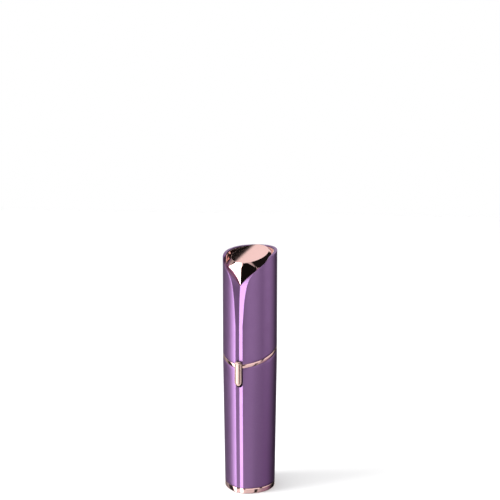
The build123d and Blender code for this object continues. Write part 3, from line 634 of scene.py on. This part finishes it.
def head_lug(index, angle):
    """Small block on the outside of the head's spigot."""
    sine, cosine = math.sin(angle), math.cos(angle)
    verts = [(radius * cosine - across * sine, radius * sine + across * cosine, z)
             for radius in LUG_RADII for across in (-LUG_HALF, LUG_HALF) for z in LUG_HEIGHTS]
    lug = finish_mesh(f"head_lug_{index}", verts, BOX_FACES, "head", None, [MATS["mirror"]], 30)
    bevel = lug.modifiers.new("bevel", "BEVEL")
    bevel.width = 0.00012
    bevel.segments = 2


revolve("column_tube",
        [(COLUMN_R, COLUMN_FOOT), (COLUMN_R, COLUMN_TOP), (COLUMN_BORE, COLUMN_TOP),
         (COLUMN_BORE, COLUMN_FOOT)],
        "chassis", "column_sleeve", MATS["mirror"], segments=180, rounding=0.10)
head = revolve("head_ring_shell", HEAD_OUTLINE, "head", None, MATS["mirror"],
               segments=180, rounding=0.16)
for i in range(3):
    head_lug(i, math.radians(120 * i))
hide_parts("head_ring")
revolve("foil_collar", FOIL_COLLAR_OUTLINE, "head", "foil_frame", MATS["mirror"],
        segments=160, rounding=0.2)

# ------------------------------------------------------------------- cap shell
CAP_FOOT = SEAT_Z + 0.06                # leaves a fine gap above the collar
POCKET_FLOOR = 98.1
# (radius, z) of the stepped bore, from the pocket floor down
CAP_BORE = [(11.2, POCKET_FLOOR), (11.2, 88.0), (11.95, 88.0), (11.95, 77.0), (12.35, 77.0)]


def cap_r(angle, z):
    return outline_r(angle, 1.0, GROOVE_Y if z <= FLARE_FOOT else flare(min(z, FLARE_TOP)))


def cap_profile(angle):
    def seam(radius, axis_z):
        return seam_z(radius, angle, axis_z)

    sine, cosine = math.sin(angle), math.cos(angle)
    # settle on the rim height, which moves with the flaring radius
    top = 108.0
    for _ in range(40):
        radius = cap_r(angle, top)
        top = 0.5 * top + 0.5 * rim_z(radius * sine, -radius * cosine)
    outer = cap_r(angle, top)
    inner = min(pocket_r(angle, POCKET_R, 11.95), outer - 0.12)
    inner_top = max(rim_z(inner * sine, -inner * cosine), 98.3)
    wall = outer - inner
    edge = min(0.16, wall * 0.3)
    foot_r = outline_r(angle, 1.0, GROOVE_Y)
    foot = seam(foot_r, CAP_FOOT)
    points = [(foot_r - 0.12, seam(foot_r - 0.12, CAP_FOOT)),
              (foot_r - 0.035, seam(foot_r - 0.035, SEAT_Z + 0.09)), (foot_r, foot + 0.13)]
    levels = [*np.linspace(foot + 1.0, 79.0, 8), *np.linspace(80.0, max(top - edge, 81), 66)]
    for level in levels:
        z = min(level, top - edge)
        points.append((cap_r(angle, z), z))
    slope = (inner_top - top) / wall
    points += [(outer - edge * 0.3, top - edge * 0.3 + slope * edge * 0.3),
               (outer - edge, top + slope * edge), (inner + edge, inner_top - slope * edge),
               (inner + edge * 0.3, inner_top - slope * edge * 0.3 - edge * 0.3),
               (inner, inner_top - edge), (inner, POCKET_FLOOR)]
    return points + CAP_BORE + [(12.35, seam(12.35, SEAT_Z + 0.16)),
                                (12.43, seam(12.43, CAP_FOOT))]


# the pocket's inner wall and the bore, from profile point 81 on, take the painted shade colour
loop_solid("cap_body",
           angles_round(front_end=40, front_step=0.35, side_end=60, side_step=0.75),
           cap_profile, "cap", "cap_shell", [MATS["paint"], MATS["inside"]], lining_from=81)

# ---------------------------------------------------------------- cap crown
CROWN_Z, CROWN_SLOPE = 113.0, 0.33      # disc on top: height on the axis, rise to the back
DISC_X, DISC_Y = 8.6, 10.6              # half axes of the disc
SKIRT_R, SKIRT_Z, SKIRT_SLOPE = 11.45, 110.9, 0.42
LIP_R = 11.12
NOSE_TIP = 11.9
FACET_X, FACET_Y, FACET_Z = 0.2969, 0.9516, 0.0809     # normal of the front facets
CROWN_FOOT, CROWN_BORE, CROWN_CEILING = 98.2, 9.5, 102.1


def facet_z(x, y):
    """Height of the facet plane that holds this side's V edge."""
    return NOTCH_Z - 0.15 + (-FACET_X * abs(x) + FACET_Y * (y + NOSE_TIP)) / FACET_Z


def crown_profile(angle):
    """Open profile from the disc out over the lip and down to the hollow underneath."""
    sine, cosine = math.sin(angle), math.cos(angle)
    disc_r = 1 / math.sqrt((sine / DISC_X) ** 2 + (cosine / DISC_Y) ** 2)
    wall_r = pocket_r(angle, POCKET_R - 0.04, NOSE_TIP)
    lip_r = pocket_r(angle, LIP_R, LIP_R + 0.42)
    disc_z = CROWN_Z - CROWN_SLOPE * disc_r * cosine

    def skirt(radius):
        end_z = SKIRT_Z - SKIRT_SLOPE * SKIRT_R * cosine
        return disc_z + (end_z - disc_z) * (radius - disc_r) / (SKIRT_R - disc_r)

    def facet(radius):
        return facet_z(radius * sine, -radius * cosine)

    def top(radius):
        return min(skirt(radius), facet(radius)) if cosine > 0 else skirt(radius)

    def lip(radius):
        z = rim_z(radius * sine, -radius * cosine) - 0.4
        if cosine > 0:
            z = min(z, facet(radius))
        return max(z, top(radius))

    # radius where the facet cuts the skirt
    crease = lip_r
    if cosine > 0 and facet(lip_r) < skirt(lip_r):
        low, high = disc_r, lip_r
        for _ in range(40):
            middle = (low + high) / 2
            if facet(middle) < skirt(middle):
                high = middle
            else:
                low = middle
        crease = (low + high) / 2
    points = [(disc_r * part, CROWN_Z - CROWN_SLOPE * disc_r * part * cosine)
              for part in (0.25, 0.5, 0.75, 0.92)]
    points.append((disc_r, disc_z))
    for start, end in ((disc_r, crease), (crease, lip_r)):
        for radius in (start + (end - start) * 0.33, start + (end - start) * 0.66, end):
            points.append((radius, top(radius)))
    return points + [
        (lip_r, max(top(lip_r), lip(lip_r) - 0.06)), (lip_r + 0.05, lip(lip_r + 0.05)),
        (wall_r - 0.07, lip(wall_r - 0.07)), (wall_r, lip(wall_r) - 0.07),
        (wall_r, CROWN_FOOT), (CROWN_BORE, CROWN_FOOT), (CROWN_BORE, CROWN_CEILING)]


def crown():
    angles = angles_round(front_end=78, front_step=0.4, side_end=100, side_step=1.0)
    verts, count = spin(angles, crown_profile)
    top, low = len(verts), len(verts) + 1
    verts += [(0, 0, CROWN_Z), (0, 0, CROWN_CEILING)]
    faces, slots = [], []
    for i in range(len(angles)):
        here, there = i * count, (i + 1) % len(angles) * count
        faces.append((here, there, top))
        faces += [(here + a, there + a, there + a + 1, here + a + 1) for a in range(count - 1)]
        faces.append((here + count - 1, there + count - 1, low))
        # the middle fan and the next four bands are the disc
        slots += [1] * 5 + [0] * (count - 4)
    finish_mesh("cap_crown_gem", verts, faces, "cap", "cap_crown",
                [MATS["mirror"], MATS["disc"]], 14, slots, merge=2e-7)


crown()

# ------------------------------------------------------------- switch button
BUTTON_HALF, BUTTON_FOOT_Z = 1.75, 54.05
CORNER_SHIFT = 0.414                    # how an inset moves the ends of the cut corners
DISH_Y, DISH_INSET = -14.80, 1.0
# (inset, y) of the outlines from the back edge, over the rim and into the dish
BUTTON_SECTIONS = [
    (0.02, -14.06), (0.0, -14.10), (0.0, -14.82), (0.03, -14.91), (0.08, -14.97),
    (0.15, -15.005), (0.22, -15.01), (0.33, -15.01), (0.38, -14.985), (0.40, -14.93),
    (0.42, -14.84)]
# thumb lip near the top: (y, z) section, then (x, fullness) stations
LIP_Y, LIP_Z = -14.90, 62.84
LIP_SECTION = [(LIP_Y, 62.42), (-15.12, 62.46), (-15.21, 62.54), (-15.24, 62.66), (-15.25, 62.85),
               (-15.24, 63.04), (-15.21, 63.14), (-15.12, 63.22), (LIP_Y, 63.26)]
LIP_STATIONS = [(-1.3, 0.0), (-1.27, 0.45), (-1.2, 0.8), (-1.05, 1.0),
                (1.05, 1.0), (1.2, 0.8), (1.27, 0.45), (1.3, 0.0)]
# foot that reaches the slider inside: (x over half width, z) outline
STEM_HALF, STEM_DEPTHS = 1.6, (-14.1, -10.38)
STEM_OUTLINE = [(-1, 53.75), (-0.91, 53.6), (0.91, 53.6), (1, 53.75),
                (1, 57.25), (0.91, 57.4), (-0.91, 57.4), (-1, 57.25)]


def button_outline(inset):
    """Front-view (x, z) outline: round foot, straight sides, cut top corners."""
    side = BUTTON_HALF - inset
    half = [(side * math.sin(math.radians(turn)),
             BUTTON_FOOT_Z - side * math.cos(math.radians(turn))) for turn in np.linspace(0, 90, 14)]
    half += [(side, z) for z in (55.5, 57.5, 59.5, 61.5)]
    half += [(side, 63.0 - CORNER_SHIFT * inset), (1.05 - CORNER_SHIFT * inset, 63.7 - inset)]
    return half + [(-x, z) for x, z in reversed(half[1:])]


def turned(quads):
    """The same quads wound the other way."""
    return [(a, d, c, b) for a, b, c, d in quads]


def switch_button():
    loops = [[(x, y, z) for x, z in button_outline(inset)] for inset, y in BUTTON_SECTIONS]
    # dish floor, slightly barrelled across: (inset, shrink towards the middle)
    for inset, shrink in ((0.45, 1), (0.6, 1), (0.8, 1), (DISH_INSET, 1),
                          (DISH_INSET, 0.66), (DISH_INSET, 0.33), (DISH_INSET, 0.0)):
        loops.append([(x * shrink, DISH_Y - 0.15 * (1 - (x * shrink / 1.3) ** 2), z)
                      for x, z in button_outline(inset)])
    count = len(loops[0])
    verts = [point for loop in loops for point in loop]
    faces = turned(ring_quads([(i, i + 1) for i in range(len(loops) - 1)], count))
    faces.append(tuple(range(count)))

    base, count, last = len(verts), len(LIP_SECTION), len(LIP_STATIONS) - 1
    verts += [(x, LIP_Y + (y - LIP_Y) * (0.35 + 0.65 * fullness),
               LIP_Z + (z - LIP_Z) * (0.8 + 0.2 * fullness))
              for x, fullness in LIP_STATIONS for y, z in LIP_SECTION]
    faces += ring_quads([(i, i + 1) for i in range(last)], count, base)
    faces += [tuple(base + i * count + a for a in range(count)) for i in (0, last)]

    base, count = len(verts), len(STEM_OUTLINE)
    verts += [(x * STEM_HALF, y, z) for y in STEM_DEPTHS for x, z in STEM_OUTLINE]
    faces += [tuple(base + i * count + a for a in range(count)) for i in (0, 1)]
    faces += turned(ring_quads([(0, 1)], count, base))
    finish_mesh("switch_slider", verts, faces, "switch", "switch_button", [MATS["button"]], 30)


switch_button()


# --------------------------------------------------------------------- stage
def build_floor(half=3, z=-0.0002):
    mesh = bpy.data.meshes.new("floor")
    mesh.from_pydata([(-half, -half, z), (half, -half, z), (half, half, z), (-half, half, z)],
                     [], [(0, 1, 2, 3)])
    floor = add_object("floor", mesh)
    mat, sh = start_mat("floor_white")
    white = sh.mix(sh.remap(sh.noise(scale=6, detail=2)), (0.955, 0.955, 0.955), (0.97, 0.97, 0.97))
    sh.feed(sh.surface, {"Base Color": white, "Roughness": 0.9, "Specular IOR Level": 0.0})
    mesh.materials.append(mat)
    floor.visible_glossy = False


build_floor()

# Soft boxes seen in reflections: (degrees, brightness or colour), 0 towards the camera and
# growing to the viewer's right. LOW shows in the sleeve, SIDES in the column and cap.
SIDES = [
    (-180, 0.50), (-162, 0.42), (-150, 0.20), (-136, 0.20), (-126, 0.40), (-113, 0.45),
    (-110, 0.03), (-98, 0.03), (-92, 3.4), (-66, 4.6), (-43, 4.2), (-38, 0.006), (-3, 0.006),
    (3, 1.05), (42, 1.12), (47, 0.03), (54, 0.03), (60, 1.02), (88, 1.0), (106, 0.82),
    (117, 0.34), (127, 0.06), (146, 0.01), (153, 0.34), (168, 0.50), (180, 0.50)]
LOW = [
    (-180, 0.40), (-162, 0.34), (-150, 0.18), (-130, 0.30), (-122, 0.45), (-116, 0.03),
    (-97, 0.03), (-91, 3.2), (-66, 4.8), (-43, 4.0), (-36, 1.1), (-6, 0.95), (6, 0.78),
    (27, 0.76), (30, 0.03), (37, 0.03), (40, 0.58), (58, (0.40, 0.33, 0.41)),
    (84, (0.32, 0.22, 0.33)), (100, (0.14, 0.09, 0.15)), (114, 0.04), (128, 0.01),
    (148, 0.006), (155, 0.26), (168, 0.40), (180, 0.40)]
OVERHEAD = [
    (-180, 0.98), (-168, 0.98), (-150, 0.85), (-125, 0.7), (-60, 1.2), (-20, 0.7), (15, 0.6),
    (26, 0.01), (151, 0.01), (156, 0.98), (180, 0.98)]
GAIN = 8.0      # ramps hold brightness divided by this, to stay within 1
# slanting edge of the dark flag: FLAG_TURN * degrees + FLAG_RISE * z = FLAG_EDGE
FLAG_TURN, FLAG_RISE, FLAG_EDGE = -0.3617, 69.89, 106.08


def build_world():
    """White to the camera and for diffuse light, soft boxes for reflections."""
    world = bpy.data.worlds.new("studio")
    bpy.context.scene.world = world
    sh = Shader(world, "OutputWorld", "Background", "Generated")
    east, north, up = sh.add("SeparateXYZ", {0: sh.coords}).outputs

    def blend(east_part, north_part):
        return sh.math("ADD", sh.math("MULTIPLY", east, east_part),
                       sh.math("MULTIPLY", north, north_part))

    def boxes(stops):
        return sh.ramp(fraction, [
            (degrees / 360 + 0.5,
             tuple(part / GAIN for part in (level if isinstance(level, tuple) else (level,) * 3)))
            for degrees, level in stops])

    def step(low, high, value):
        return sh.remap(value, source=(low, high), kind="SMOOTHSTEP")

    camera_x, camera_y = math.sin(CAMERA_TURN), -math.cos(CAMERA_TURN)
    forward = blend(camera_x, camera_y)
    right = blend(-camera_y, camera_x)
    turn = sh.math("ARCTAN2", right, forward)
    fraction = sh.math("ADD", sh.math("DIVIDE", turn, 2 * math.pi), 0.5)
    sides, low, overhead = boxes(SIDES), boxes(LOW), boxes(OVERHEAD)
    glossy = sh.mix(step(-0.25, -0.20, up), low, sides)
    glossy = sh.mix(step(0.34, 0.42, up), glossy, overhead)

    # dark flag high behind the object; its edge crosses the crown disc's reflection
    degrees = sh.math("MULTIPLY", turn, 180 / math.pi)
    edge = sh.math("ADD", sh.math("MULTIPLY", degrees, FLAG_TURN),
                   sh.math("MULTIPLY", up, FLAG_RISE))
    flag = sh.math("SUBTRACT", 1.0, step(-0.10, 0.14, sh.math("SUBTRACT", edge, FLAG_EDGE)))
    flag = sh.math("MULTIPLY", flag, step(0.55, 0.58, up))
    flag = sh.math("MULTIPLY", flag, sh.math("SUBTRACT", 1.0, step(-162.0, -152.0, degrees)))
    glossy = sh.mix(flag, glossy, (0.001, 0.001, 0.001))

    bright = sh.add("VectorMath", {0: glossy, "Scale": GAIN}, operation="SCALE").outputs[0]
    rays = sh.add("LightPath").outputs
    colour = sh.mix(rays["Is Diffuse Ray"], bright, (1.0, 1.0, 1.0))
    colour = sh.mix(rays["Is Camera Ray"], colour, (1.0, 1.0, 1.0))
    sh.feed(sh.surface, {"Color": colour})


build_world()


def aim_from(ob, location, target):
    ob.location = location
    ob.rotation_euler = (Vector(target) - Vector(location)).to_track_quat("-Z", "Y").to_euler()


def key_light():
    light = bpy.data.lights.new("key_soft", "AREA")
    light.shape = "DISK"
    light.size = 0.30
    light.energy = 3.2
    ob = add_object("key_soft", light)
    aim_from(ob, location=(-0.42, -0.30, 0.55), target=(0, 0, 0.04))
    ob.visible_glossy = False
    ob.visible_camera = False


key_light()


def build_camera(distance=0.363, height=0.147, pitch=math.radians(5.1)):
    """Camera round to the right of the front, tipped down by pitch."""
    lens = bpy.data.cameras.new("camera")
    lens.sensor_width = 36.0
    lens.lens = 55.1
    lens.clip_start = 0.01
    camera = add_object("camera", lens)
    sine, cosine = math.sin(CAMERA_TURN), math.cos(CAMERA_TURN)
    location = Vector((distance * sine, -distance * cosine, height))
    view = Vector((-sine * math.cos(pitch), cosine * math.cos(pitch), -math.sin(pitch)))
    aim_from(camera, location, location + view)
    bpy.context.scene.camera = camera


build_camera()
bpy.context.scene.view_settings.view_transform = "Standard"
bpy.context.scene.view_settings.look = "None"
